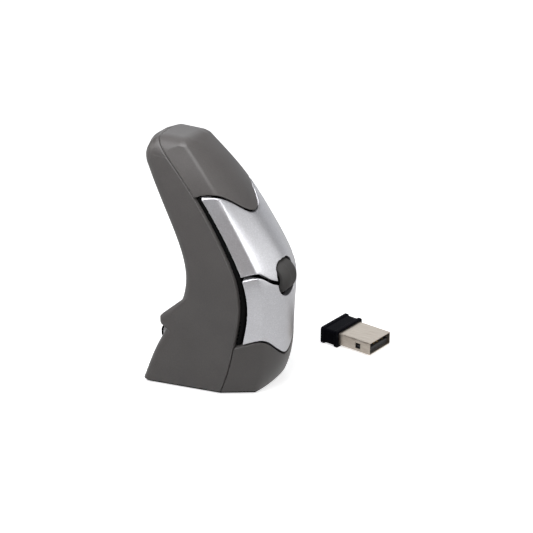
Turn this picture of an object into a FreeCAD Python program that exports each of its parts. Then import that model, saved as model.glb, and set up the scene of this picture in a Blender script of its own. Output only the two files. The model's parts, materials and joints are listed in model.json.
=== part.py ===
import FreeCAD, Part
import Sketcher
import math
import os

# Upright pen-grip wireless mouse with its USB receiver lying beside it.
# Millimetres. The origin is the middle of the base on the desk, +X points to
# the finger buttons, +Z is up, and the XZ plane is the plane of symmetry.

os.makedirs("parts", exist_ok=True)
doc = FreeCAD.newDocument("upright_mouse")
V = FreeCAD.Vector
X_AXIS = V(1, 0, 0)
Y_AXIS = V(0, 1, 0)
Z_AXIS = V(0, 0, 1)
SPACE = 120.0                    # larger than the object, for cutting blocks

# ------------------------------------------------------------ driving sizes
DIMENSIONS = {
    # casing
    "casing_low": 1.0,
    "casing_high": 82.7,
    "wall": 2.0,                 # casing wall, measured level
    "seam": 0.1,                # half the gap between two casing parts
    "crown_radius": 7.0,         # rounding of the top, all round
    "rear_bow": 1.5,
    "crease_round_foot": 4.0,    # rounding of the nose's creases, at their foot
    "crease_round_top": 1.8,
    "corner_round": 0.8,         # rounding where the side walls start
    # thumb ledge on the rear wall
    "ledge_reach": 16.1,
    "ledge_tip": 22.4,
    "ledge_round": 2.4,
    "ledge_half": 16.8,
    # finger buttons
    "button_side_gap": 2.3,      # the black gap beside the buttons
    "button_gap": 0.65,          # from a button's edge to the parting line
    "window_width": 10.2,        # opening for the wheel
    "window_height": 12.4,
    "frame_depth": 3.2,          # the carrier sits this far under the surface
    "frame_wall": 1.4,
    "gap_floor": 0.9,            # depth of the black strip in the side gap
    "pin_radius": 0.75,
    "upper_pivot_x": 1.6,
    "upper_pivot_z": 63.4,
    "lower_pivot_x": 16.2,
    "lower_pivot_z": 22.6,
    # scroll wheel
    "wheel_x": 20.1,
    "wheel_z": 39.9,
    "wheel_radius": 5.5,
    "wheel_width": 8.2,
    "wheel_clearance": 0.75,     # to the edges of the window, inside
    "hub_radius": 3.0,
    "axle_radius": 0.8,
    "arm_inside": 4.7,           # the wheel fork's arms, from the middle
    "arm_outside": 5.5,
    "eye_radius": 1.3,
    "running_gap": 0.06,
    # base
    "base_low": 1.0,
    "base_wall": 1.8,
    "flange_low": 0.4,           # the base's rim, under the casing's edge
    "flange_high": 0.95,
    "flange_inset": 0.6,
    "screw_radius": 1.0,
    "socket_z": 8.6,
    "board_z": 6.0,              # underside of the main board
    "slot_half": 3.5,
    # electronics
    "board_x": 6.0,              # front face of the upright board
    "board_wall": 1.2,
    "switch_width": 12.8,
    "switch_height": 5.8,
    "switch_depth": 6.5,
    "upper_switch_z": 51.2,
    "lower_switch_z": 29.6,
    "sensor_opening": 3.4,
    "glide_ring_radius": 6.6,
    "press_room": 0.2,           # from a button's post to its switch
    # thumb buttons under the ledge
    "thumb_y": 13.0,
    "thumb_z": 16.6,
    "thumb_width": 2.4,
    "thumb_height": 3.6,
    "ring_wall": 0.7,
    # receiver
    "receiver_x": 18.8,
    "receiver_y": 41.0,
    "receiver_turn": -8.5,
    "plug_width": 12.0,
    "plug_height": 4.5,
    "plug_length": 12.9,
    "plug_wall": 0.32,
    "cap_width": 14.9,
    "cap_height": 6.1,
    "cap_length": 6.9,
}

sheet = doc.addObject("Spreadsheet::Sheet", "sizes")
for row, (alias, value) in enumerate(DIMENSIONS.items(), start=1):
    sheet.set("A%d" % row, alias)
    sheet.set("B%d" % row, str(value))
    sheet.setAlias("B%d" % row, alias)

# Stations up the casing, each a level outline given by one side: the crease
# of the nose, how far the nose stands ahead of it, the corner where the side
# wall starts, the rear corner (x forward, y half-width) and its rounding.
STATION_COLUMNS = ("level", "crease_x", "crease_y", "nose", "corner_x", "corner_y", "rear_x", "rear_y", "round")
STATIONS = (
    (1.0, 17.4, 9.8, 1.0, 7.4, 16.0, -20.4, 20.8, 2.2),
    (10.0, 19.7, 9.9, 2.8, 10.5, 15.8, -17.6, 19.0, 2.6),
    (20.0, 20.3, 10.2, 3.2, 12.6, 15.6, -12.9, 17.3, 3.0),
    (30.0, 20.5, 10.9, 3.2, 14.1, 15.4, -8.2, 16.3, 3.6),
    (40.0, 19.9, 11.6, 4.0, 12.9, 15.1, -7.1, 15.8, 4.0),
    (50.0, 15.3, 11.4, 4.2, 8.1, 14.6, -10.3, 15.0, 4.2),
    (60.0, 8.7, 11.0, 3.8, 1.2, 13.5, -16.0, 13.8, 4.6),
    (70.0, 1.2, 9.9, 3.0, -7.5, 12.0, -22.7, 12.3, 6.2),
    (84.0, -12.5, 7.9, 1.4, -22.4, 9.4, -31.0, 9.6, 8.2),
)
station_row = len(DIMENSIONS) + 2
for number, figures in enumerate(STATIONS):
    for column, (name, value) in enumerate(zip(STATION_COLUMNS, figures)):
        cell = "%s%d" % ("CDEFGHIJK"[column], station_row + number)
        sheet.set(cell, str(value))
        sheet.setAlias(cell, "%s_at_%d" % (name, number))
doc.recompute()


def size(alias):
    """A driving size, read from the sheet."""
    return float(sheet.get(alias))


stations = [{name: size("%s_at_%d" % (name, number)) for name in STATION_COLUMNS}
            for number in range(len(STATIONS))]

# ------------------------------------------------------------- small helpers
pieces = []


def feature(name, shape, place=None):
    """A named piece whose shape was worked out from the sheet."""
    if len(shape.Solids) == 1:
        shape = shape.Solids[0]
    piece = doc.addObject("Part::Feature", name)
    piece.Shape = shape
    piece.Label = name
    piece.Placement = place or FreeCAD.Placement()
    pieces.append(piece)
    return piece


def box(x_low, x_high, y_low, y_high, z_low, z_high):
    return Part.makeBox(x_high - x_low, y_high - y_low, z_high - z_low, V(x_low, y_low, z_low))


def cylinder(radius, length, start, direction):
    return Part.makeCylinder(radius, length, start, direction)


def along_y(radius, x, z, y_low, y_high):
    return cylinder(radius, y_high - y_low, V(x, y_low, z), Y_AXIS)


def fused(shapes):
    return shapes[0].fuse(list(shapes[1:])).removeSplitter()


def rounded_box(x_low, x_high, y_low, y_high, z_low, z_high, radius, axis):
    """A box with its four edges along one axis rounded."""
    solid = box(x_low, x_high, y_low, y_high, z_low, z_high)
    edges = [e for e in solid.Edges if abs(e.tangentAt(e.FirstParameter).dot(axis)) > 0.9]
    return solid.makeFillet(radius, edges)


def level_line(a, b, inset):
    """The line from a to b moved to its right by inset, as a point and a direction."""
    dx, dy = b[0] - a[0], b[1] - a[1]
    length = math.hypot(dx, dy)
    ux, uy = dx / length, dy / length
    return (a[0] + uy * inset, a[1] - ux * inset), (ux, uy)


def crossing(first, second):
    (px, py), (ux, uy) = first
    (qx, qy), (vx, vy) = second
    along = ((qx - px) * vy - (qy - py) * vx) / (ux * vy - uy * vx)
    return (px + along * ux, py + along * uy)


def outline(st, inset=0.0):
    """The level outline of the casing at one station, moved in by inset.

    Nose arc, facet, side wall, rounded rear corner and bowed rear wall; the
    same eight edges at every station, so that lofts keep their creases.
    """
    crease = (st["crease_x"], st["crease_y"])
    corner = (st["corner_x"], st["corner_y"])
    rear = (st["rear_x"], st["rear_y"])
    nose_radius = (crease[1] ** 2 + st["nose"] ** 2) / (2 * st["nose"])
    nose_centre = st["crease_x"] + st["nose"] - nose_radius
    nose_radius -= inset
    facet = level_line(corner, crease, inset)
    side = level_line(rear, corner, inset)
    (px, py), (ux, uy) = facet
    half = (px - nose_centre) * ux + py * uy
    rest = (px - nose_centre) ** 2 + py ** 2 - nose_radius ** 2
    along = -half + math.sqrt(half ** 2 - rest)
    crease = (px + along * ux, py + along * uy)
    corner = crossing(facet, side)
    # the rear corner's arc touches the side wall and the level rear line
    radius = st["round"] - inset * 0.5
    rear_x = st["rear_x"] + inset
    (sx, sy), (vx, vy) = side
    inward = (vy, -vx)
    along = (rear_x + radius - inward[0] * radius - sx) / vx
    touch = (sx + along * vx, sy + along * vy)
    centre = (touch[0] + inward[0] * radius, touch[1] + inward[1] * radius)
    diagonal = radius * math.sqrt(0.5)
    middle = (centre[0] - diagonal, centre[1] + diagonal)
    end = (centre[0] - radius, centre[1])
    rear_middle = rear_x - size("rear_bow")

    def p(point, side_sign=1):
        return V(point[0], side_sign * point[1], st["level"])

    return Part.Wire([
        Part.Arc(p(crease, -1), p((nose_centre + nose_radius, 0)), p(crease)).toShape(),
        Part.makeLine(p(crease), p(corner)),
        Part.makeLine(p(corner), p(touch)),
        Part.Arc(p(touch), p(middle), p(end)).toShape(),
        Part.Arc(p(end), p((rear_middle, 0)), p(end, -1)).toShape(),
        Part.Arc(p(end, -1), p(middle, -1), p(touch, -1)).toShape(),
        Part.makeLine(p(touch, -1), p(corner, -1)),
        Part.makeLine(p(corner, -1), p(crease, -1)),
    ])


def profile_corner(low, high_level, slope, radius, outward):
    """Start, middle and end of the arc that rounds a wall into the level top."""
    norm = math.hypot(slope, 1.0)
    up = (slope / norm, 1.0 / norm)
    top = low[0] + slope * (high_level - low[1])
    reach = radius * math.tan(math.acos(-up[0] * outward) / 2)
    start = (top - up[0] * reach, high_level - up[1] * reach)
    end = (top - outward * reach, high_level)
    centre = (end[0], high_level - radius)
    away = (top - centre[0], high_level - centre[1])
    scale = radius / math.hypot(*away)
    return start, (centre[0] + away[0] * scale, centre[1] + away[1] * scale), end


CROWN_TURNS = 8


def crown(top, inset, shrink):
    """A block whose top is rounded towards sixteen directions, so that it closes like a dome."""
    low, high = stations[-2], stations[-1]
    rise = high["level"] - low["level"]
    low_points = outline(low, inset).discretize(Deflection=0.05)
    high_points = outline(high, inset).discretize(Deflection=0.05)
    radius = size("crown_radius") - shrink
    flare, drop = 12.0, 8.0      # below the rounding the block opens outwards
    block = None
    for turn in range(CROWN_TURNS):
        angle = math.pi * turn / CROWN_TURNS
        across = V(math.cos(angle), math.sin(angle), 0)
        along = V(-math.sin(angle), math.cos(angle), 0)

        def place(q):
            return across * q[0] + along * (-SPACE) + V(0, 0, q[1])

        ends = []
        for outward, pick in ((-1, min), (1, max)):
            u_low = pick(point.dot(across) for point in low_points)
            u_high = pick(point.dot(across) for point in high_points)
            ends.append(profile_corner((u_low, low["level"]), top, (u_high - u_low) / rise, radius, outward))
        (la, lm, lb), (ra, rm, rb) = ends
        points = [la, (la[0] - flare, la[1] - drop), (-SPACE, la[1] - drop), (-SPACE, -5.0),
                  (SPACE, -5.0), (SPACE, ra[1] - drop), (ra[0] + flare, ra[1] - drop), ra]
        edges = [Part.makeLine(place(a), place(b)) for a, b in zip(points, points[1:])]
        edges += [Part.Arc(place(ra), place(rm), place(rb)).toShape(),
                  Part.makeLine(place(rb), place(lb)),
                  Part.Arc(place(lb), place(lm), place(la)).toShape()]
        prism = Part.Face(Part.Wire(edges)).extrude(along * (2 * SPACE))
        block = prism if block is None else block.common(prism)
    return block


def body(inset, top, shrink, rounded=False):
    """The casing's solid form moved in by inset and closed at the given top."""
    loft = Part.makeLoft([outline(st, inset) for st in stations], True, False)
    if rounded:
        middle = {}
        for edge in loft.Edges:
            if edge.BoundBox.ZLength > 0.9 * SPACE / 2:
                middle[edge] = edge.valueAt((edge.FirstParameter + edge.LastParameter) / 2)
        creases = [edge for edge, point in middle.items() if point.x > 15]
        corners = [edge for edge, point in middle.items() if 5 < point.x < 15]
        loft = loft.makeFillet(size("crease_round_foot"), size("crease_round_top"), creases)
        corners = [edge for edge in loft.Edges
                   if any((edge.CenterOfMass - old.CenterOfMass).Length < 0.5 for old in corners)]
        loft = loft.makeFillet(size("corner_round"), corners)
    return loft.common(crown(top, inset, shrink)).Solids[0]


def smooth(points):
    curve = Part.BSplineCurve()
    curve.interpolate(points)
    return curve.toShape()


def ahead_of_corner(shift, low=-5.0, high=100.0):
    """Everything ahead of the corner line, with the line moved forward by shift."""
    line = [V(st["corner_x"] + shift, -SPACE / 2, st["level"]) for st in stations]
    bottom, top = line[0], line[-1]
    foot = V(bottom.x - 0.4, -SPACE / 2, low)
    head = V(top.x - 14.0, -SPACE / 2, high)
    edges = [
        Part.makeLine(foot, bottom),
        smooth(line),
        Part.makeLine(top, head),
        Part.makeLine(head, V(SPACE, -SPACE / 2, high)),
        Part.makeLine(V(SPACE, -SPACE / 2, high), V(SPACE, -SPACE / 2, low)),
        Part.makeLine(V(SPACE, -SPACE / 2, low), foot),
    ]
    return Part.Face(Part.Wire(edges)).extrude(V(0, SPACE, 0))


def above_line(heights, shift):
    """Everything above a line across the nose, given as (half-width, height)."""
    right = [V(-SPACE / 2, y, z + shift) for y, z in heights]
    left = [V(-SPACE / 2, -y, z + shift) for y, z in reversed(heights) if y > 0]
    line = left + right
    edge_low, edge_high = line[0], line[-1]
    far_left = V(-SPACE / 2, -SPACE / 2, edge_low.z)
    far_right = V(-SPACE / 2, SPACE / 2, edge_high.z)
    up = V(0, 0, SPACE)
    edges = [
        Part.makeLine(far_left, edge_low),
        smooth(line),
        Part.makeLine(edge_high, far_right),
        Part.makeLine(far_right, far_right + up),
        Part.makeLine(far_right + up, far_left + up),
        Part.makeLine(far_left + up, far_left),
    ]
    return Part.Face(Part.Wire(edges)).extrude(V(SPACE, 0, 0))


# The three lines across the front: under the crown, between the buttons and
# above the foot. Each runs high at the creases and low in the middle.
CROWN_LINE = ((0.0, 60.9), (3.0, 61.8), (6.0, 64.4), (8.6, 66.7), (10.3, 67.4), (12.6, 65.8), (16.0, 63.6))
BUTTON_LINE = ((0.0, 38.6), (5.4, 39.7), (8.2, 41.3), (11.2, 43.4), (13.6, 42.3), (17.0, 41.6))
FOOT_LINE = ((0.0, 12.3), (3.2, 13.9), (7.1, 17.5), (10.4, 19.7), (13.2, 18.8), (17.0, 17.6))

# ------------------------------------------------------------ casing solids
wall = size("wall")
seam = size("seam")
running = size("running_gap")
outer = body(0.0, size("casing_high"), 0.0, rounded=True)
inner = body(wall, size("casing_high") - 1.9, 1.8)

# thumb ledge: a wedge across the rear wall, level at the tip, rounded in plan
reach = -size("ledge_reach")
tip = size("ledge_tip")
wedge_edge = [
    (-4.0, tip + 11.5), (-6.6, tip + 8.9), (reach + 1.2, tip + 1.6), (reach, tip + 0.2),
    (reach + 1.1, tip - 1.2), (reach + 3.2, tip - 2.4), (-4.0, tip - 6.0),
]
wedge_points = [V(x, -SPACE / 2, z) for x, z in wedge_edge]
wedge = Part.Face(Part.makePolygon(wedge_points + wedge_points[:1])).extrude(V(0, SPACE, 0))
ledge_stations = []
for st in stations[1:5]:
    side_slope = (st["rear_y"] - st["corner_y"]) / (st["rear_x"] - st["corner_x"])
    widened = dict(st)
    widened["rear_x"] = reach
    widened["rear_y"] = st["corner_y"] + (reach - st["corner_x"]) * side_slope
    ledge_stations.append(widened)
ledge_side = Part.makeLoft([outline(st) for st in ledge_stations], True, False)
ledge = wedge.common(ledge_side.common(box(reach, 10, -SPACE, SPACE, 0, SPACE))).Solids[0]
# the ledge's two upper side edges are rounded by a long roof-shaped block
low_point, high_point = V(reach + 1.2, 0, tip + 1.6), V(-6.6, 0, tip + 8.9)
roof_run = (high_point - low_point).normalize()
roof_up = V(-roof_run.z, 0, roof_run.x)
roof_round = size("ledge_round")
roof_half = size("ledge_half")
start = low_point - roof_run * 10 + roof_up * 0.05


def roof_point(y, up):
    return start + Y_AXIS * y + roof_up * up


shoulder = roof_half - roof_round
bend = roof_round * (1 - math.sqrt(0.5))
roof_edges = [Part.makeLine(roof_point(-shoulder, 0), roof_point(shoulder, 0))]
for side in (1, -1):
    roof_edges.append(Part.Arc(roof_point(side * shoulder, 0),
                               roof_point(side * (roof_half - bend), -bend),
                               roof_point(side * roof_half, -roof_round)).toShape())
    roof_edges.append(Part.makeLine(roof_point(side * roof_half, -roof_round),
                                    roof_point(side * (roof_half + 3), -25)))
roof_edges.append(Part.makeLine(roof_point(-roof_half - 3, -25), roof_point(roof_half + 3, -25)))
roof = Part.Face(Part.Wire(Part.__sortEdges__(roof_edges))).extrude(roof_run * 40)
ledge = ledge.common(roof)
outer = outer.fuse(ledge).Solids[0]

low_cut = box(-SPACE, SPACE, -SPACE, SPACE, -SPACE, size("casing_low"))
shell = outer.cut(inner).cut(low_cut)
ahead = ahead_of_corner(seam)
front_shell = shell.common(ahead)

# ------------------------------------------------- where the fixed parts are
wheel_x = size("wheel_x")
wheel_z = size("wheel_z")
board_x = size("board_x")
spine_x = board_x - size("board_wall")
thumb_y = size("thumb_y")
thumb_z = size("thumb_z")
BASE_SCREWS = ((-13.0, 14.6), (4.0, 11.8))
BEHIND = -22.0                   # a drill through the rear wall starts here
base_top = size("base_low") + size("base_wall")

# side shells, with two screw bosses each, the thumb button's hole and half of
# the charging socket's slot
side_shell = shell.cut(ahead_of_corner(-seam))
socket_z = size("socket_z")
socket_slot = rounded_box(-26, -12, -4.4, 4.4, socket_z - 1.9, socket_z + 1.9, 1.7, X_AXIS)


def thumb_oval(grow, x_low, x_high, side):
    """An upright oval block on the thumb button's axis."""
    half_y = size("thumb_width") / 2 + grow
    half_z = size("thumb_height") / 2 + grow
    return rounded_box(x_low, x_high, side * thumb_y - half_y, side * thumb_y + half_y,
                       thumb_z - half_z, thumb_z + half_z, half_y - 0.02, X_AXIS)


def side_half(side):
    y_low, y_high = (seam, SPACE) if side > 0 else (-SPACE, -seam)
    half = side_shell.common(box(-SPACE, SPACE, y_low, y_high, -5, SPACE))
    bosses = []
    for x, y in BASE_SCREWS:
        boss = cylinder(2.4, 9.0, V(x, side * y, base_top + seam), Z_AXIS)
        web = box(x - 0.8, x + 0.8, min(side * y, side * (y + 6)), max(side * y, side * (y + 6)),
                  base_top + seam, base_top + seam + 8.0)
        bosses += [boss, web]
    joined = half.fuse(fused(bosses).common(outer)).removeSplitter()
    for x, y in BASE_SCREWS:
        joined = joined.cut(cylinder(size("screw_radius"), 8.0, V(x, side * y, base_top), Z_AXIS))
    joined = joined.cut(thumb_oval(size("ring_wall"), BEHIND, -6.0, side)).cut(socket_slot)
    return joined


left_side = side_half(1)
right_side = side_half(-1)
crown_cap = front_shell.common(above_line(CROWN_LINE, seam))
foot_cover = front_shell.cut(above_line(FOOT_LINE, -seam))

# ----------------------------------------------------------- finger buttons
gap = size("button_gap")
face = shell.common(ahead_of_corner(size("button_side_gap")))
window = rounded_box(wheel_x - 3.0, 40.0, -size("window_width") / 2, size("window_width") / 2,
                     wheel_z - size("window_height") / 2, wheel_z + size("window_height") / 2,
                     size("window_width") / 2 - 0.05, X_AXIS)
LUG_LOW, LUG_HIGH = 7.9, 9.3     # the pivot lugs' two faces, across the mouse
# inside, both buttons are thinned where the wheel fork's arms come close
fork_pocket = body(0.9, size("casing_high") - 1.0, 0.8)
fork_pocket = fork_pocket.common(box(10, 40, -6.4, 6.4, wheel_z - 2.6, wheel_z + 2.6))
TYRE_ROUND = 3.2                 # the tyre is nearly barrel-shaped


def tyre_points(grow):
    """The tyre's section on one side, as radius and distance from the middle."""
    outer_r, half_width = size("wheel_radius"), size("wheel_width") / 2
    shoulder_r, flank = outer_r - 0.45 * TYRE_ROUND, half_width - TYRE_ROUND
    middle = ((shoulder_r + outer_r) / 2 + 0.15 * TYRE_ROUND, (half_width + flank) / 2 + 0.09 * TYRE_ROUND)
    return ((shoulder_r + 0.55 * grow, half_width + 0.8 * grow),
            (middle[0] + 0.87 * grow, middle[1] + 0.49 * grow),
            (outer_r + grow, flank))


# the room the wheel needs in the window, also while a button is pressed
near, bend_point, far = tyre_points(size("wheel_clearance"))
room_edges = [Part.makeLine(V(0, -near[1], 0), V(near[0], -near[1], 0)),
              Part.Arc(V(near[0], -near[1], 0), V(bend_point[0], -bend_point[1], 0), V(far[0], -far[1], 0)).toShape(),
              Part.makeLine(V(far[0], -far[1], 0), V(far[0], far[1], 0)),
              Part.Arc(V(far[0], far[1], 0), V(bend_point[0], bend_point[1], 0), V(near[0], near[1], 0)).toShape(),
              Part.makeLine(V(near[0], near[1], 0), V(0, near[1], 0)),
              Part.makeLine(V(0, near[1], 0), V(0, -near[1], 0))]
wheel_room = Part.Face(Part.Wire(room_edges)).revolve(V(0, 0, 0), Y_AXIS, 360)
wheel_room.translate(V(wheel_x, 0, wheel_z))


def button(above, below, pivot_x, pivot_z, post_z, press_x):
    """A finger button: its face, two pivot lugs and the post that works its switch."""
    shape = face.common(above).cut(below).cut(window)
    room = body(wall - 0.6, size("casing_high") - 1.5, 1.4)
    extras = []
    for side in (1, -1):
        y = min(side * LUG_LOW, side * LUG_HIGH)
        eye = cylinder(1.9, LUG_HIGH - LUG_LOW, V(pivot_x, y, pivot_z), Y_AXIS)
        arm = box(pivot_x, pivot_x + 7.0, y, y + LUG_HIGH - LUG_LOW, pivot_z - 1.9, pivot_z + 1.9)
        extras += [eye, arm]
    extras.append(cylinder(1.3, 14.0, V(press_x, 0, post_z), X_AXIS))
    shape = shape.fuse([extra.common(room) for extra in extras]).removeSplitter()
    bore = along_y(size("pin_radius") + running, pivot_x, pivot_z, -LUG_HIGH - 0.3, LUG_HIGH + 0.3)
    return shape.cut(bore).cut(fork_pocket).cut(wheel_room)


upper_switch_z = size("upper_switch_z")
lower_switch_z = size("lower_switch_z")
plunger_tip = board_x + size("switch_depth") + 0.9
press_x = plunger_tip + size("press_room")
upper_face = button(above_line(BUTTON_LINE, gap), above_line(CROWN_LINE, -gap),
                    size("upper_pivot_x"), size("upper_pivot_z"), upper_switch_z, press_x)
lower_face = button(above_line(FOOT_LINE, gap), above_line(BUTTON_LINE, -gap),
                    size("lower_pivot_x"), size("lower_pivot_z"), lower_switch_z, press_x)
feature("left_side_shell", left_side)
feature("right_side_shell", right_side)
feature("top_cap", crown_cap)
feature("foot_cover", foot_cover)
feature("upper_button", upper_face)
feature("lower_button", lower_face)

# --------------------------------------------- carrier seen in the black gaps
# A ring under the edges of both buttons, with a strip standing up in the gap
# at each side and ears that hold the two pivot pins.
depth = size("frame_depth")
frame_outer = body(depth, size("casing_high") - 3.0, 2.6)
frame_inner = body(depth + size("frame_wall"), size("casing_high") - 4.6, 3.6)
strip_solid = body(size("gap_floor"), size("casing_high") - 1.0, 0.8).cut(frame_inner)
strip_front = size("button_side_gap") - 0.75
between = above_line(FOOT_LINE, -3.2).cut(above_line(CROWN_LINE, 3.2))
# the crown and foot parts stand 2 mm deep, so the strip only runs between them
strip = strip_solid.common(ahead_of_corner(seam + 0.05)).cut(ahead_of_corner(strip_front))
strip = strip.common(above_line(FOOT_LINE, seam + 0.1)).cut(above_line(CROWN_LINE, -seam - 0.1))
opening = box(-SPACE, SPACE, -9.8, 9.8, 0, SPACE)
opening = opening.common(above_line(FOOT_LINE, 7.0)).cut(above_line(CROWN_LINE, -4.6))
ring = frame_outer.cut(frame_inner).common(ahead_of_corner(seam + 0.05))
ring = ring.common(between).cut(opening)
frame = ring.fuse(strip).removeSplitter()
EAR_LOW, EAR_HIGH = 5.9, 7.5     # the ears' two faces, across the mouse
EAR_RADIUS = 1.7
pivots = [(size("%s_pivot_x" % name), size("%s_pivot_z" % name)) for name in ("upper", "lower")]
frame_room = body(depth + 0.1, size("casing_high") - 3.2, 2.7)
for pivot_x, pivot_z in pivots:
    for side in (1, -1):
        ear_y = min(side * EAR_LOW, side * EAR_HIGH)
        ear = cylinder(EAR_RADIUS, EAR_HIGH - EAR_LOW, V(pivot_x, ear_y, pivot_z), Y_AXIS)
        stem = box(pivot_x, pivot_x + 8, ear_y, ear_y + EAR_HIGH - EAR_LOW,
                   pivot_z - EAR_RADIUS, pivot_z + EAR_RADIUS)
        frame = frame.fuse([ear, stem.common(frame_room)]).removeSplitter()
        # room for the button's lug and arm
        low_y = min(side * (LUG_LOW - 0.35), side * (LUG_HIGH + 0.35))
        high_y = max(side * (LUG_LOW - 0.35), side * (LUG_HIGH + 0.35))
        frame = frame.cut(box(pivot_x - 3.0, pivot_x + 12, low_y, high_y, pivot_z - 2.6, pivot_z + 2.6))
    pin_hole = along_y(size("pin_radius") + 0.01, pivot_x, pivot_z, -LUG_HIGH - 0.4, LUG_HIGH + 0.4)
    frame = frame.cut(pin_hole)
feature("inner_frame", frame)


# ----------------------------------- pieces made from the document's own objects
def bind(thing, name, value):
    """Sets one property: an expression on the sheet if value is words, else a number."""
    if isinstance(value, str):
        thing.setExpression(name, value)
    else:
        setattr(thing, name, value)


def primitive(kind, name, at, turned=None, **lengths):
    """A Part box or cylinder; at and the lengths are numbers or expressions."""
    thing = doc.addObject(kind, name)
    thing.Label = name
    rotation = FreeCAD.Rotation(Z_AXIS, turned) if turned else FreeCAD.Rotation()
    start = [0.0 if isinstance(value, str) else value for value in at]
    thing.Placement = FreeCAD.Placement(V(*start), rotation)
    for axis, value in zip("xyz", at):
        if isinstance(value, str):
            thing.setExpression("Placement.Base.%s" % axis, value)
    for length, value in lengths.items():
        bind(thing, length, value)
    return thing


def block(name, at, length, width, height):
    return primitive("Part::Box", name, at, Length=length, Width=width, Height=height)


def rod(name, at, radius, length, turned=None):
    return primitive("Part::Cylinder", name, at, turned, Radius=radius, Height=length)


def rounded(name, base, radius, axis):
    """The base box with its four edges along one axis rounded."""
    doc.recompute()
    rims = []
    for number, edge in enumerate(base.Shape.Edges, start=1):
        if abs(edge.tangentAt(edge.FirstParameter).dot(axis)) > 0.9:
            rims.append((number, radius, radius))
    thing = doc.addObject("Part::Fillet", name)
    thing.Label = name
    thing.Base = base
    thing.Edges = rims
    return thing


def joined(name, parts):
    thing = doc.addObject("Part::MultiFuse", name)
    thing.Label = name
    thing.Shapes = parts
    thing.Refine = True
    return thing


def cut_from(name, base, tool):
    thing = doc.addObject("Part::Cut", name)
    thing.Label = name
    thing.Base = base
    thing.Tool = tool
    return thing


def keep(thing):
    """Adds an object to the pieces that are saved."""
    pieces.append(thing)
    return thing


def sketch_on(holder, name, role):
    """An empty sketch on one of a body's own origin planes."""
    sketch = holder.newObject("Sketcher::SketchObject", name)
    plane = [item for item in holder.Origin.OriginFeatures if item.Role == role][0]
    sketch.AttachmentSupport = [(plane, "")]
    sketch.MapMode = "FlatFace"
    return sketch


def pad_body(name, base_z, height):
    """A body with an empty sketch on its base plane, and the name of its pad's length."""
    holder = doc.addObject("PartDesign::Body", name)
    holder.Label = name
    holder.Placement = FreeCAD.Placement(V(0, 0, base_z), FreeCAD.Rotation())
    sketch = sketch_on(holder, name + "_outline", "XY_Plane")
    pad = holder.newObject("PartDesign::Pad", name + "_pad")
    pad.Profile = sketch
    bind(pad, "Length", height)
    return holder, sketch


def circle_in(sketch, x, y, radius):
    """A circle whose radius is an expression on the sheet."""
    number = sketch.addGeometry(Part.Circle(V(x, y, 0), Z_AXIS, size(radius.split(".")[-1])), False)
    sketch.addConstraint(Sketcher.Constraint("DistanceX", -1, 1, number, 3, x) if x
                         else Sketcher.Constraint("PointOnObject", number, 3, -2))
    sketch.addConstraint(Sketcher.Constraint("DistanceY", -1, 1, number, 3, y) if y
                         else Sketcher.Constraint("PointOnObject", number, 3, -1))
    constraint = sketch.addConstraint(Sketcher.Constraint("Radius", number, size(radius.split(".")[-1])))
    sketch.setExpression("Constraints[%d]" % constraint, radius)


def slot_in(sketch, x, half_x, half_y):
    """A slot outline centred at x, its long side along Y and its ends round."""
    straight = half_y - half_x
    right, left = x + half_x, x - half_x
    sketch.addGeometry(Part.LineSegment(V(right, -straight, 0), V(right, straight, 0)), False)
    sketch.addGeometry(Part.ArcOfCircle(Part.Circle(V(x, straight, 0), Z_AXIS, half_x), 0, math.pi), False)
    sketch.addGeometry(Part.LineSegment(V(left, straight, 0), V(left, -straight, 0)), False)
    sketch.addGeometry(Part.ArcOfCircle(Part.Circle(V(x, -straight, 0), Z_AXIS, half_x),
                                        math.pi, 2 * math.pi), False)
    for first, first_end, second, second_end in ((0, 2, 1, 1), (1, 2, 2, 1), (2, 2, 3, 1), (3, 2, 0, 1)):
        sketch.addConstraint(Sketcher.Constraint("Coincident", first, first_end, second, second_end))


# ----------------------------------------------------------------- the base
base_low = size("base_low")
base = body(wall + seam, size("casing_high") - 2.5, 2.0)
base = base.common(box(-SPACE, SPACE, -SPACE, SPACE, base_low, base_top))
# below the casing the base is a thin plate that reaches under the casing's edge
flange_low, flange_high = size("flange_low"), size("flange_high")
neck = Part.Face(outline(stations[0], wall + seam)).extrude(V(0, 0, flange_low - base_low))
flange = Part.Face(outline(stations[0], size("flange_inset"))).extrude(V(0, 0, flange_low - flange_high))
flange.translate(V(0, 0, flange_high - base_low))
board_z = size("board_z")
board_wall = size("board_wall")
POSTS = ((-11.0, 6.6), (11.6, 6.6))
posts = [cylinder(1.5, board_z - base_top, V(x, side * y, base_top), Z_AXIS)
         for x, y in POSTS for side in (1, -1)]
base = base.fuse(posts + [neck, flange]).removeSplitter()
base = base.cut(cylinder(size("sensor_opening"), 6, V(0, 0, 0), Z_AXIS))
for x, y in BASE_SCREWS:
    for side in (1, -1):
        base = base.cut(cylinder(size("screw_radius") + 0.2, 4, V(x, side * y, 0), Z_AXIS))
        base = base.cut(cylinder(2.2, 2.1, V(x, side * y, 0), Z_AXIS))
slot_half = size("slot_half")
base = base.cut(box(8.4, 11.2, -slot_half, slot_half, 0, 4))
feature("base_plate", base)

glide_ring, ring_sketch = pad_body("sensor_glide_ring", 0.0, "sizes.flange_low")
circle_in(ring_sketch, 0.0, 0.0, "sizes.glide_ring_radius")
circle_in(ring_sketch, 0.0, 0.0, "sizes.sensor_opening")
keep(glide_ring)
front_pad, front_sketch = pad_body("front_glide_pad", 0.0, "sizes.flange_low")
slot_in(front_sketch, 13.7, 1.7, 7.0)
keep(front_pad)
rear_pad, rear_sketch = pad_body("rear_glide_pad", 0.0, "sizes.flange_low")
slot_in(rear_sketch, -15.5, 2.1, 10.5)
keep(rear_pad)

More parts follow.
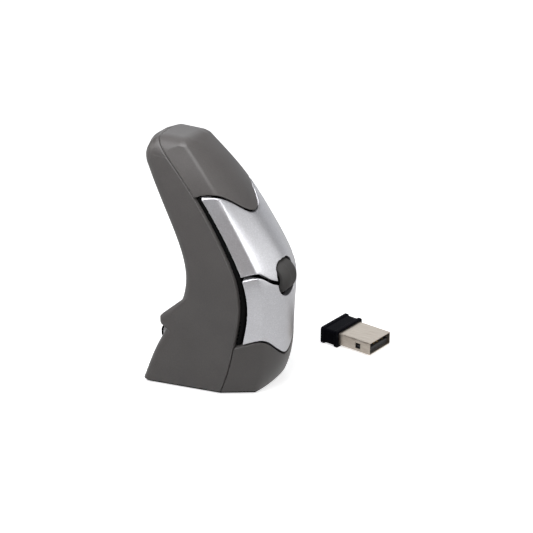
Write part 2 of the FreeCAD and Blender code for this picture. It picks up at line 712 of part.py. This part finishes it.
screws = []
for x, y in BASE_SCREWS:
    for side in (1, -1):
        head = cylinder(1.9, 0.9, V(x, side * y, 1.2), Z_AXIS)
        for long_x, long_y in ((1.3, 0.25), (0.25, 1.3)):
            head = head.cut(box(x - long_x, x + long_x, side * y - long_y, side * y + long_y, 1.1, 1.6))
        shank = cylinder(size("screw_radius") - 0.03, 6.4, V(x, side * y, 2.1), Z_AXIS)
        screws.append(head.fuse(shank).removeSplitter())
feature("base_screws", Part.makeCompound(screws))

# --------------------------------------------------------------- electronics
SPINE_LOW, SPINE_HIGH = 7.6, 57.0
LEG_LOW, LEG_HIGH = 6.2, 8.2     # the spine's two legs, across the mouse
SPINE_WALL = 1.8
SPINE_HALF = 8.6
spine_front = board_x - board_wall
spine_rear = spine_front - SPINE_WALL
leg_width = LEG_HIGH - LEG_LOW
spine_parts = [block("spine_plate", (spine_rear, -SPINE_HALF, SPINE_LOW), SPINE_WALL, 2 * SPINE_HALF,
                     SPINE_HIGH - SPINE_LOW)]
for name, y in (("left", LEG_LOW), ("right", -LEG_HIGH)):
    spine_parts.append(block("spine_leg_" + name, (spine_rear, y, base_top), SPINE_WALL, leg_width,
                             SPINE_LOW - base_top))
spine_window = rounded("spine_window", block("spine_window_block", (0.0, -4.0, 10.5), 8.0, 8.0, 8.0),
                       1.5, X_AXIS)
keep(cut_from("chassis", joined("spine", spine_parts), spine_window))

main_plate = rounded("main_board_plate", block("main_board_blank", (-15.0, -9.0, "sizes.board_z"), 29.0, 18.0,
                                               "sizes.board_wall"), 2.0, Z_AXIS)
holes = []
for name, side in (("left", 1), ("right", -1)):
    low = min(side * (LEG_LOW - 0.15), side * (LEG_HIGH + 0.15))
    holes.append(block("leg_slot_" + name, (spine_rear - 0.15, low, 0.0), SPINE_WALL + 0.3,
                       leg_width + 0.3, 12.0))
    for number, (x, y) in enumerate(POSTS):
        holes.append(rod("board_hole_%s_%d" % (name, number), (x, side * y, board_z - 1), 0.7, 5.0))
board_holes = doc.addObject("Part::MultiFuse", "board_holes")
board_holes.Shapes = holes
keep(cut_from("main_board", main_plate, board_holes))
board_top = board_z + board_wall
upright = block("upright_board_blank", (spine_front, -SPINE_HALF, 20.0), "sizes.board_wall",
                2 * SPINE_HALF, SPINE_HIGH - 20.0)
keep(rounded("upright_board", upright, 1.5, X_AXIS))
SENSOR_LOW = 4.3
keep(block("sensor_chip", (-5.0, -4.5, SENSOR_LOW), 10.0, 9.0, board_z - SENSOR_LOW))
lens_parts = [block("lens_plate", (-6.0, -5.0, base_top), 12.0, 10.0, 4.1 - base_top),
              rod("lens_barrel", (0.0, 0.0, base_top - 1.4), 2.6, 1.4)]
keep(joined("sensor_lens", lens_parts))
keep(block("control_chip", (-7.5, -3.2, board_top), 6.5, 6.4, 1.0))
ballast = block("ballast_blank", (6.8, -8.0, board_top), 6.8, 16.0, 6.0)
keep(rounded("ballast_weight", ballast, 1.0, Z_AXIS))
cell = block("battery_blank", (spine_rear - 5.2, -7.8, 24.0), 5.2, 15.6, 31.0)
keep(rounded("battery", cell, 1.2, Z_AXIS))
keep(block("ribbon_cable", (board_x + 0.1, -3.5, board_top), 0.3, 7.0, 23.5 - board_top))

socket_shell = rounded("socket_shell", block("socket_blank", (-18.6, -3.75, socket_z - 1.35), 5.4, 7.5, 2.7),
                       0.6, X_AXIS)
socket_mouth = block("socket_mouth", (-20.0, -3.4, socket_z - 1.0), 6.0, 6.8, 2.0)
keep(cut_from("charging_socket", socket_shell, socket_mouth))
keep(block("socket_tongue", (-18.2, -2.2, socket_z + 0.1), 4.2, 4.4, 0.6))

switch_front = board_x + size("switch_depth")
PLUNGER_RADIUS = 1.15
for name in ("upper", "lower"):
    z = size("%s_switch_z" % name)
    half_w, half_h = size("switch_width") / 2, size("switch_height") / 2
    blank = block(name + "_switch_blank", ("sizes.board_x", -half_w, z - half_h), "sizes.switch_depth",
                  "sizes.switch_width", "sizes.switch_height")
    well = rod(name + "_switch_well", (switch_front - 1.6, 0.0, z), 1.4, 2.4, X_AXIS)
    keep(cut_from(name + "_switch", rounded(name + "_switch_case", blank, 0.5, X_AXIS), well))
    keep(rod(name + "_switch_plunger", (switch_front - 0.9, 0.0, z), PLUNGER_RADIUS,
             plunger_tip - switch_front + 0.9, X_AXIS))
    pin_length = 2 * (LUG_HIGH - 0.05)
    keep(rod(name + "_pivot_pin", ("sizes.%s_pivot_x" % name, -pin_length / 2, "sizes.%s_pivot_z" % name),
             "sizes.pin_radius", pin_length, Y_AXIS))

# -------------------------------------------------------------- scroll wheel
half_width = size("wheel_width") / 2
tyre = doc.addObject("PartDesign::Body", "wheel_tyre")
tyre.Label = "wheel_tyre"
tyre.Placement = FreeCAD.Placement(V(wheel_x, 0, wheel_z), FreeCAD.Rotation())
tyre.setExpression("Placement.Base.x", "sizes.wheel_x")
tyre.setExpression("Placement.Base.z", "sizes.wheel_z")
profile = sketch_on(tyre, "tyre_profile", "XY_Plane")
inner_r = size("hub_radius")
(shoulder_r, shoulder_y), (bend_r, bend_y), (rim_r, rim_y) = tyre_points(0.0)
profile.addGeometry(Part.LineSegment(V(inner_r, -shoulder_y, 0), V(shoulder_r, -shoulder_y, 0)), False)
profile.addGeometry(Part.Arc(V(shoulder_r, -shoulder_y, 0), V(bend_r, -bend_y, 0), V(rim_r, -rim_y, 0)), False)
profile.addGeometry(Part.LineSegment(V(rim_r, -rim_y, 0), V(rim_r, rim_y, 0)), False)
profile.addGeometry(Part.Arc(V(rim_r, rim_y, 0), V(bend_r, bend_y, 0), V(shoulder_r, shoulder_y, 0)), False)
profile.addGeometry(Part.LineSegment(V(shoulder_r, shoulder_y, 0), V(inner_r, shoulder_y, 0)), False)
profile.addGeometry(Part.LineSegment(V(inner_r, shoulder_y, 0), V(inner_r, -shoulder_y, 0)), False)
turned_tyre = tyre.newObject("PartDesign::Revolution", "tyre_turned")
turned_tyre.Profile = profile
turned_tyre.ReferenceAxis = (profile, ["V_Axis"])
turned_tyre.Angle = 360.0
keep(tyre)
hub_half = half_width - 0.3
hub_blank = rod("hub_blank", ("sizes.wheel_x", -hub_half, "sizes.wheel_z"), "sizes.hub_radius", 2 * hub_half, Y_AXIS)
hub_bore = rod("hub_bore", ("sizes.wheel_x", -10.0, "sizes.wheel_z"), "sizes.axle_radius", 20.0, Y_AXIS)
keep(cut_from("wheel_hub", hub_blank, hub_bore))
keep(rod("wheel_axle", ("sizes.wheel_x", "-sizes.arm_outside", "sizes.wheel_z"), "sizes.axle_radius",
         "2 * sizes.arm_outside", Y_AXIS))
arm_inside, arm_outside = size("arm_inside"), size("arm_outside")
arm_wall = arm_outside - arm_inside
eye = size("eye_radius")
FORK_REAR, FORK_FRONT = 10.8, 12.4
STEM_TIP = 8.9                   # 0.4 mm ahead of the click switch
fork_parts = [
    block("fork_bar", (FORK_REAR, "-sizes.arm_outside", wheel_z - eye), FORK_FRONT - FORK_REAR,
          "2 * sizes.arm_outside", 2 * eye),
    block("fork_stem", (STEM_TIP, -1.4, wheel_z - 1.4), FORK_REAR + 0.2 - STEM_TIP, 2.8, 2.8),
]
for name, low in (("left", arm_inside), ("right", -arm_outside)):
    fork_parts.append(block("fork_arm_" + name, (FORK_REAR, low, wheel_z - eye), wheel_x - FORK_REAR,
                            arm_wall, 2 * eye))
    fork_parts.append(rod("fork_eye_" + name, (wheel_x, low, wheel_z), "sizes.eye_radius", arm_wall, Y_AXIS))
fork_bore = rod("fork_bore", ("sizes.wheel_x", -8.0, "sizes.wheel_z"), "sizes.axle_radius + sizes.running_gap",
                16.0, Y_AXIS)
keep(cut_from("wheel_fork", joined("fork_blank", fork_parts), fork_bore))
guide_parts = [block("guide_flange", (board_x, -6.8, wheel_z - 4.2), 1.0, 13.6, 8.4)]
for name, low in (("left", 5.9), ("right", -6.8)):
    guide_parts.append(block("guide_rail_" + name, (board_x, low, wheel_z - 2.4), 8.0, 0.9, 4.8))
guide_window = block("guide_window", (board_x - 1.0, -3.2, wheel_z - 3.2), 3.0, 6.4, 6.4)
keep(cut_from("wheel_guide", joined("guide_blank", guide_parts), guide_window))
keep(joined("wheel_click_switch", [
    block("click_case", (board_x, -3.0, wheel_z - 3.0), 2.0, 6.0, 6.0),
    rod("click_button", (board_x, 0.0, wheel_z), 1.2, 2.5, X_AXIS),
]))
keep(block("encoder_emitter", (board_x, 7.1, wheel_z - 1.5), 9.0, 1.5, 3.0))
keep(block("encoder_receiver", (board_x, -8.6, wheel_z - 1.5), 9.0, 1.5, 3.0))

# -------------------------------------------------------------- thumb buttons
RING_FACE, CAP_FACE = -14.9, -16.1
for name, side in (("left", 1), ("right", -1)):
    ring_wall = size("ring_wall")
    bezel = thumb_oval(ring_wall - 0.02, RING_FACE, -12.2, side).cut(thumb_oval(0.12, RING_FACE - 1, -10, side))
    feature("%s_thumb_ring" % name, bezel)
    feature("%s_thumb_button" % name, thumb_oval(0.0, CAP_FACE, -10.8, side))
    keep(block("%s_thumb_switch" % name, (-10.2, side * thumb_y - 1.6, thumb_z - 2.0), 1.6, 3.2, 4.0))
keep(joined("thumb_board", [
    block("thumb_board_head", (-8.6, -14.6, 12.4), 1.0, 29.2, 8.2),
    block("thumb_board_leg", (-8.6, -8.0, board_top), 1.0, 16.0, 12.4 - board_top),
]))

# --------------------------------------------------------------- power switch
FLANGE_LOW = base_top + 0.25
keep(joined("power_slider", [
    block("slider_knob", (8.7, -3.1, 0.45), 2.2, 2.5, FLANGE_LOW + 0.05 - 0.45),
    block("slider_flange", (8.0, -4.0, FLANGE_LOW), 3.6, 4.3, 0.85),
]))
keep(block("power_switch", (8.0, -4.4, 4.4), 3.6, 8.8, board_z - 4.4))

# ------------------------------------------------------------------- receiver
turn = FreeCAD.Rotation(Z_AXIS, size("receiver_turn"))
place = FreeCAD.Placement(V(size("receiver_x"), size("receiver_y"), 0), turn)
cap_l, cap_w, cap_h = size("cap_length"), size("cap_width"), size("cap_height")
middle = cap_h / 2
plug_w, plug_h, plug_l = size("plug_width"), size("plug_height"), size("plug_length")
plug_wall = size("plug_wall")
cap_block = rounded_box(0, cap_l, -cap_w / 2 + 0.45, cap_w / 2 - 0.45, 0.35, cap_h - 0.35, 0.8, X_AXIS)
for low, high in ((0.0, 1.3), (cap_l - 1.3, cap_l)):
    cap_block = cap_block.fuse(rounded_box(low, high, -cap_w / 2, cap_w / 2, 0.0, cap_h, 0.9, X_AXIS))
plug_low, plug_high = middle - plug_h / 2, middle + plug_h / 2
socket_hole = box(cap_l - 3.0, cap_l + 1, -plug_w / 2, plug_w / 2, plug_low, plug_high)
feature("receiver_cap", cap_block.removeSplitter().cut(socket_hole), place)
plug_rear, plug_tip = cap_l - 3.0, cap_l + plug_l
plug = rounded_box(plug_rear, plug_tip, -plug_w / 2, plug_w / 2, plug_low, plug_high, 0.4, X_AXIS)
hollow = rounded_box(plug_rear - 1, plug_tip + 1, -plug_w / 2 + plug_wall, plug_w / 2 - plug_wall,
                     plug_low + plug_wall, plug_high - plug_wall, 0.15, X_AXIS)
plug = plug.cut(hollow)
window_x = plug_tip - 4.9
for y in (-plug_w / 2 - 1, plug_w / 2 - 1):
    plug = plug.cut(box(window_x - 1.0, window_x + 1.0, y, y + 2, middle - 1.1, middle + 0.9))
feature("receiver_plug", plug, place)
tongue_half = plug_w / 2 - plug_wall - 0.2
tongue_low, tongue_top = plug_low + plug_wall, middle - 0.1
feature("receiver_tongue", box(plug_rear, plug_tip - 0.9, -tongue_half, tongue_half, tongue_low, tongue_top), place)
contacts = [box(plug_rear + 1.0, plug_tip - 1.6, y - 0.5, y + 0.5, tongue_top, tongue_top + 0.15)
            for y in (-3.5, -1.0, 1.0, 3.5)]
feature("receiver_contacts", Part.makeCompound(contacts), place)

# ------------------------------------------------------------- check and save
doc.recompute()
for piece in pieces:
    bad = [state for state in piece.State if state in ("Invalid", "Error")]
    if bad or piece.Shape.isNull() or not piece.Shape.isValid():
        raise RuntimeError("%s is not sound: %s" % (piece.Label, bad))
    piece.Shape.exportStep("parts/%s.step" % piece.Label)
print(len(pieces), "pieces")
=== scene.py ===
import json
import math

import bmesh
import bpy
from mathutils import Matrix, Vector


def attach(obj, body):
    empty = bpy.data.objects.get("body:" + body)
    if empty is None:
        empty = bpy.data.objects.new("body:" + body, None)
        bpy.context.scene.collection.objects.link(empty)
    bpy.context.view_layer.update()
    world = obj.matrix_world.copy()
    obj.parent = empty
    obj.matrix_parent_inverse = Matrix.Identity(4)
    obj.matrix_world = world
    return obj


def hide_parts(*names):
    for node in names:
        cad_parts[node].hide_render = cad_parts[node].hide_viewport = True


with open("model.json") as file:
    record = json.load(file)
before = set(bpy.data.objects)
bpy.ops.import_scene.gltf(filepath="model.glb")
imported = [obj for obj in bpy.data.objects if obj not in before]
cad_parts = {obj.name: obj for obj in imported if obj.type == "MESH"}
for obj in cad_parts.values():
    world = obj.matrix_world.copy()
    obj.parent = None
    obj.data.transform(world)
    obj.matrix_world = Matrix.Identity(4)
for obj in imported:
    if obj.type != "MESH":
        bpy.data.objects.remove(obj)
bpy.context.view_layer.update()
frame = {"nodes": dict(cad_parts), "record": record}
NODES = frame["nodes"]
scene = bpy.context.scene
MM = 0.001
NOISE_LOW = 0.3                  # almost all of a noise texture's values lie between these two
NOISE_HIGH = 0.7


# ---------------------------------------------------------------- materials
def principled(mat):
    """The material's Principled shader node."""
    return next(node for node in mat.node_tree.nodes if node.type == "BSDF_PRINCIPLED")


def new_material(name, metallic=0.0, specular=0.5, coat=0.0, coat_roughness=0.1):
    """A material with a Principled shader; constants sit on the shader itself."""
    mat = bpy.data.materials.new(name)
    mat.use_nodes = True
    tree = mat.node_tree
    shader = principled(mat)
    shader.inputs["Metallic"].default_value = metallic
    shader.inputs["Specular IOR Level"].default_value = specular
    shader.inputs["Coat Weight"].default_value = coat
    shader.inputs["Coat Roughness"].default_value = coat_roughness
    return mat, tree, shader


def noise(tree, scale, detail=2.0, stretch=(1.0, 1.0, 1.0)):
    """A noise texture in the object's own coordinates; scale is per metre."""
    coords = tree.nodes.new("ShaderNodeTexCoord")
    mapping = tree.nodes.new("ShaderNodeMapping")
    mapping.inputs["Scale"].default_value = stretch
    tree.links.new(coords.outputs["Object"], mapping.inputs["Vector"])
    texture = tree.nodes.new("ShaderNodeTexNoise")
    texture.inputs["Scale"].default_value = scale
    texture.inputs["Detail"].default_value = detail
    texture.inputs["Roughness"].default_value = 0.5
    tree.links.new(mapping.outputs["Vector"], texture.inputs["Vector"])
    return texture.outputs["Fac"]


def grey(value):
    return (value, value, value)


def ramp(tree, value, stops):
    """Colours along a value; stops are (position, (r, g, b))."""
    node = tree.nodes.new("ShaderNodeValToRGB")
    elements = node.color_ramp.elements
    while len(elements) < len(stops):
        elements.new(0.5)
    for element, (position, colour) in zip(elements, stops):
        element.position = position
        element.color = (*colour, 1.0)
    tree.links.new(value, node.inputs["Fac"])
    return node.outputs["Color"]


def spread(tree, value, low, high):
    """A value from the noise's usual span stretched to low..high."""
    node = tree.nodes.new("ShaderNodeMapRange")
    node.inputs["From Min"].default_value = NOISE_LOW
    node.inputs["From Max"].default_value = NOISE_HIGH
    node.inputs["To Min"].default_value = low
    node.inputs["To Max"].default_value = high
    tree.links.new(value, node.inputs["Value"])
    return node.outputs["Result"]


def multiplied(tree, first, second):
    """The product of two colours."""
    node = tree.nodes.new("ShaderNodeMix")
    node.data_type = "RGBA"
    node.blend_type = "MULTIPLY"
    node.inputs["Factor"].default_value = 1.0
    tree.links.new(first, node.inputs[6])       # sockets 6 and 7 are colours A and B
    tree.links.new(second, node.inputs[7])
    return node.outputs[2]                      # and output 2 is the colour result


def bumped(tree, shader, height, distance, strength=1.0):
    """Tilts the shader's normal by a height; the distance is in metres."""
    node = tree.nodes.new("ShaderNodeBump")
    node.inputs["Strength"].default_value = strength
    node.inputs["Distance"].default_value = distance
    tree.links.new(height, node.inputs["Height"])
    tree.links.new(node.outputs["Normal"], shader.inputs["Normal"])


def moulded(name, dark, light, roughness, grain=2600.0, depth=0.02 * MM, mottle=70.0, **surface):
    """Moulded plastic: cloudy colour over a fine grain that also roughens it."""
    mat, tree, shader = new_material(name, **surface)
    clouds = noise(tree, mottle, 3.0)
    fine = noise(tree, grain, 2.0)
    base = ramp(tree, clouds, [(NOISE_LOW, dark), (NOISE_HIGH, light)])
    specks = ramp(tree, fine, [(NOISE_LOW, grey(0.86)), (NOISE_HIGH, grey(1.0))])
    tree.links.new(multiplied(tree, base, specks), shader.inputs["Base Color"])
    tree.links.new(spread(tree, fine, *roughness), shader.inputs["Roughness"])
    bumped(tree, shader, fine, depth)
    return mat


def flake_paint(name, dark, light, roughness, metallic):
    """Silver paint: metal flakes that each catch the light differently."""
    mat, tree, shader = new_material(name, metallic=metallic, coat=0.15, coat_roughness=0.25)
    coords = tree.nodes.new("ShaderNodeTexCoord")
    flakes = tree.nodes.new("ShaderNodeTexVoronoi")
    flakes.inputs["Scale"].default_value = 3800.0
    tree.links.new(coords.outputs["Object"], flakes.inputs["Vector"])
    clouds = noise(tree, 2500.0, 3.0)
    base = ramp(tree, clouds, [(NOISE_LOW, dark), (NOISE_HIGH, light)])
    draws = tree.nodes.new("ShaderNodeSeparateColor")      # three random values per flake
    tree.links.new(flakes.outputs["Color"], draws.inputs["Color"])
    sparkle = ramp(tree, draws.outputs["Red"], [(0.0, grey(0.92)), (0.8, grey(0.98)), (1.0, grey(1.08))])
    tree.links.new(multiplied(tree, base, sparkle), shader.inputs["Base Color"])
    tree.links.new(spread(tree, draws.outputs["Green"], *roughness), shader.inputs["Roughness"])
    bumped(tree, shader, draws.outputs["Blue"], 0.003 * MM, 0.5)
    return mat


def brushed(name, dark, light, roughness, along=(1.0, 12.0, 12.0), scale=220.0, depth=0.004 * MM):
    """Metal with fine lines that run along one direction."""
    mat, tree, shader = new_material(name, metallic=1.0)
    lines = noise(tree, scale, 3.0, along)
    base = ramp(tree, lines, [(NOISE_LOW, dark), (NOISE_HIGH, light)])
    tree.links.new(base, shader.inputs["Base Color"])
    tree.links.new(spread(tree, lines, *roughness), shader.inputs["Roughness"])
    bumped(tree, shader, lines, depth)
    return mat


def clear_plastic(name, dark, light, roughness):
    """See-through plastic with a faint cloudiness."""
    mat, tree, shader = new_material(name)
    shader.inputs["Transmission Weight"].default_value = 0.9
    shader.inputs["IOR"].default_value = 1.5
    clouds = noise(tree, 700.0)
    tint = ramp(tree, clouds, [(NOISE_LOW, dark), (NOISE_HIGH, light)])
    tree.links.new(tint, shader.inputs["Base Color"])
    tree.links.new(spread(tree, clouds, *roughness), shader.inputs["Roughness"])
    return mat


MATERIALS = {                    # by slot: dark and light colour, then the span of roughness
    "casing_grey": moulded("casing_grey_plastic", (0.080, 0.075, 0.073), (0.096, 0.090, 0.087),
                           (0.34, 0.46)),
    "silver": flake_paint("silver_flake_paint", (0.56, 0.56, 0.58), (0.62, 0.62, 0.645), (0.30, 0.40), 0.85),
    "black_plastic": moulded("black_plastic", grey(0.002), grey(0.005), (0.45, 0.60), specular=0.05),
    "wheel_rubber": moulded("wheel_rubber", (0.055, 0.053, 0.051), (0.072, 0.070, 0.068), (0.62, 0.78),
                            grain=1800.0, specular=0.3),
    "steel": brushed("bright_steel", (0.48, 0.48, 0.48), (0.64, 0.64, 0.63), (0.22, 0.36)),
    "glide": moulded("glide_pad", (0.030, 0.030, 0.031), (0.042, 0.042, 0.044), (0.28, 0.38)),
    "board": moulded("circuit_board", (0.010, 0.085, 0.032), (0.018, 0.120, 0.050), (0.28, 0.40),
                     mottle=240.0, coat=0.3),
    "chip": moulded("chip_epoxy", (0.012, 0.012, 0.013), (0.020, 0.020, 0.021), (0.35, 0.50)),
    "foil": brushed("foil_pouch", (0.52, 0.52, 0.54), (0.68, 0.68, 0.70), (0.25, 0.45),
                    along=(1.0, 1.0, 1.0), scale=300.0, depth=0.05 * MM),
    "cable": moulded("ribbon_film", (0.55, 0.53, 0.47), (0.68, 0.66, 0.60), (0.35, 0.50), mottle=900.0),
    "red_plastic": moulded("red_plastic", (0.42, 0.030, 0.022), (0.55, 0.045, 0.030), (0.25, 0.38)),
    "ring_pale": moulded("pale_bezel", (0.46, 0.46, 0.47), (0.56, 0.56, 0.58), (0.15, 0.28), coat=0.4),
    "plug_steel": brushed("nickel_plated_shell", (0.50, 0.43, 0.36), (0.66, 0.60, 0.53), (0.30, 0.42)),
    "receiver_black": moulded("gloss_black_plastic", (0.004, 0.004, 0.006), (0.007, 0.007, 0.010),
                              (0.26, 0.36), specular=0.01),
    "contact": brushed("gold_contacts", (0.72, 0.50, 0.20), (0.88, 0.66, 0.30), (0.18, 0.30)),
    "lens": clear_plastic("clear_lens", (0.80, 0.84, 0.88), (0.92, 0.95, 0.97), (0.04, 0.12)),
}


# ----------------------------------------------------------------- the pieces
SLOTS = {row["node"]: row["material_slot"] for row in frame["record"]["subparts"]}
BODY_OF = {node: body for body, nodes in frame["record"]["behaviour"]["bodies"].items() for node in nodes}
CREASE = math.radians(30)


def shade_by_angle(mesh):
    """Smooth shading, with edges sharper than CREASE kept as edges."""
    form = bmesh.new()
    form.from_mesh(mesh)
    for face in form.faces:
        face.smooth = True
    for edge in form.edges:
        edge.smooth = len(edge.link_faces) == 2 and edge.calc_face_angle(0.0) < CREASE
    form.to_mesh(mesh)
    form.free()


def modified(source, name, steps):
    """A new object: the source's mesh after a list of (modifier type, settings)."""
    work = bpy.data.objects.new(name, source.data.copy())
    scene.collection.objects.link(work)
    for kind, settings in steps:
        modifier = work.modifiers.new(kind.lower(), kind)
        for key, value in settings.items():
            setattr(modifier, key, value)
    graph = bpy.context.evaluated_depsgraph_get()
    mesh = bpy.data.meshes.new_from_object(work.evaluated_get(graph))
    work.modifiers.clear()
    work.data = mesh
    return work


def soften(node, voxel, rounds):
    """Stands in for a CAD node with a copy whose edges are all rounded, as a moulding's are."""
    steps = [
        ("REMESH", {"mode": "VOXEL", "voxel_size": voxel * MM, "use_smooth_shade": True}),
        ("SMOOTH", {"factor": 0.5, "iterations": rounds}),
    ]
    piece = modified(NODES[node], node + "_moulded", steps)
    piece.data.materials.clear()
    piece.data.materials.append(MATERIALS[SLOTS[node]])
    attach(piece, BODY_OF[node])
    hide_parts(node)


SOFTENED = {                     # node: voxel size in mm and rounds of smoothing
    "left_side_shell": (0.24, 6),
    "right_side_shell": (0.20, 6),
    "top_cap": (0.18, 9),
    "foot_cover": (0.18, 8),
    "upper_button": (0.14, 15),
    "lower_button": (0.14, 15),
    "inner_frame": (0.26, 3),
    "receiver_cap": (0.12, 5),
}
for node_name, (voxel, rounds) in SOFTENED.items():
    soften(node_name, voxel, rounds)

for node_name, obj in NODES.items():
    obj.data.materials.clear()
    obj.data.materials.append(MATERIALS[SLOTS[node_name]])
    if node_name not in SOFTENED:
        shade_by_angle(obj.data)

# --------------------------------------------------- floor, light and camera
WORLD_STRENGTH = 0.15
FLOOR_HALF = 3.0                 # from the middle to each edge, in metres
FLOOR_GLOW = 0.62
CARD_GLOW = 0.45
CARD_DROP = 4 * MM               # the card lies this far below the floor
CAMERA_PLACE = (0.3100, -0.5097, 0.3100)
CAMERA_TILT = 65.5               # degrees from looking straight down
CAMERA_TURN = 30.0               # degrees about the vertical
SENSOR_WIDTH = 36.0
LENS_LENGTH = 135.08
MIDDLE = Vector((0.0, 0.0, 0.04))            # what the lights aim at

scene.view_settings.view_transform = "Standard"
world = bpy.data.worlds.new("studio")
scene.world = world
world.use_nodes = True
background = world.node_tree.nodes["Background"]
background.inputs["Color"].default_value = (1.0, 1.0, 1.0, 1.0)
background.inputs["Strength"].default_value = WORLD_STRENGTH


def glowing_paper(name, glow):
    """White paper that also gives off light of its own."""
    mat = moulded(name, grey(0.90), grey(0.93), (0.6, 0.7), grain=900.0, depth=0.01 * MM)
    shader = principled(mat)
    shader.inputs["Emission Color"].default_value = (1.0, 1.0, 1.0, 1.0)
    shader.inputs["Emission Strength"].default_value = glow
    return mat


def level_sheet(name, height, material):
    """A flat square centred on the origin."""
    form = bmesh.new()
    bmesh.ops.create_grid(form, x_segments=2, y_segments=2, size=FLOOR_HALF)
    mesh = bpy.data.meshes.new(name)
    form.to_mesh(mesh)
    form.free()
    mesh.materials.append(material)
    sheet = bpy.data.objects.new(name, mesh)
    sheet.location.z = height
    scene.collection.objects.link(sheet)
    return sheet


floor = level_sheet("floor", 0.0, glowing_paper("floor_paper", FLOOR_GLOW))
floor.visible_diffuse = False    # the white floor doesn't brighten the casing's foot
floor.visible_glossy = False     # what the silver paint mirrors instead is this dimmer card
card = level_sheet("mirror_card", -CARD_DROP, glowing_paper("mirror_card_paper", CARD_GLOW))
card.visible_diffuse = False
card.visible_shadow = False


def soft_light(name, azimuth, elevation, distance, size, power, tint=(1.0, 1.0, 1.0)):
    """A round lamp aimed at the object: azimuth 0 is +X and 90 is +Y, metres and watts."""
    data = bpy.data.lights.new(name, "AREA")
    data.shape = "DISK"
    data.size = size
    data.energy = power
    data.color = tint
    lamp = bpy.data.objects.new(name, data)
    turn = math.radians(azimuth)
    rise = math.radians(elevation)
    away = Vector((math.cos(rise) * math.cos(turn), math.cos(rise) * math.sin(turn), math.sin(rise)))
    lamp.location = MIDDLE + away * distance
    lamp.rotation_euler = (-away).to_track_quat("-Z", "Y").to_euler()
    scene.collection.objects.link(lamp)


soft_light("key", -22, 27, 0.9, 0.50, 2.2)
soft_light("front_panel", 20, 8, 0.9, 1.00, 2.8)
soft_light("right_panel", 85, 10, 0.9, 0.80, 0.8, (0.94, 0.96, 1.0))
soft_light("warm_card", -66, 14, 0.9, 0.60, 0.10, (1.0, 0.72, 0.60))
soft_light("back_panel", 125, 27, 1.0, 0.80, 1.6, (0.94, 0.97, 1.0))
soft_light("left_rim", 198, 22, 0.9, 0.40, 1.2, (1.0, 0.98, 0.96))
soft_light("top_near", -100, 64, 0.20, 0.20, 0.50, (0.98, 0.98, 1.0))

camera_data = bpy.data.cameras.new("camera")
camera_data.sensor_width = SENSOR_WIDTH
camera_data.lens = LENS_LENGTH
camera = bpy.data.objects.new("camera", camera_data)
camera.location = CAMERA_PLACE
camera.rotation_euler = (math.radians(CAMERA_TILT), 0.0, math.radians(CAMERA_TURN))
scene.collection.objects.link(camera)
scene.camera = camera
